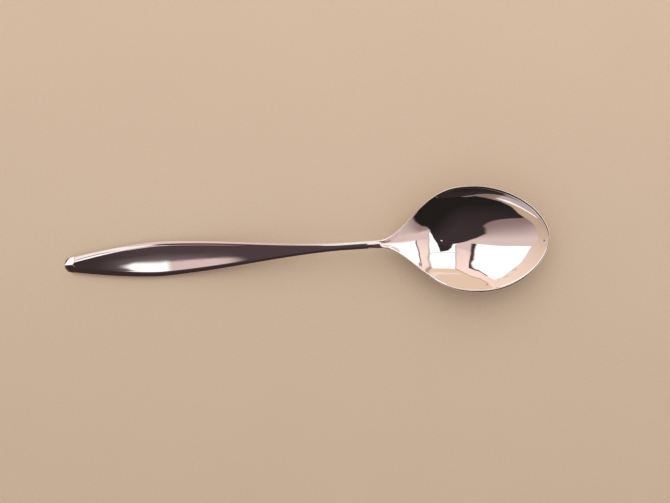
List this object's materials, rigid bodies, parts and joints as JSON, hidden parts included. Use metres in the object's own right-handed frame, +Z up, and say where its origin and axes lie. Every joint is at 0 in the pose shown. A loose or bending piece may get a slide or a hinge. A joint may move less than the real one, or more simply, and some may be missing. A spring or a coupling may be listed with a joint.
{
  "type": "teaspoon",
  "caption": "Polished metal teaspoon with an egg-shaped bowl on a slender stem that widens into a leaf-shaped handle with a hollowed top panel and a bevelled end.",
  "frame": {"origin": "middle of the spoon's length and width, on the table it lies on", "axes": "+X along the spoon towards the bowl's tip, +Z up out of the open bowl"},
  "size_m": [0.155, 0.034, 0.0091],
  "materials": {
    "bowl_metal": "mirror polish with fine scratches from use",
    "handle_metal": "mirror polish with fine scratches from use"
  },
  "bodies": {
    "root": {"bowl": "bowl_metal", "handle": "handle_metal"}
  },
  "joints": []
}
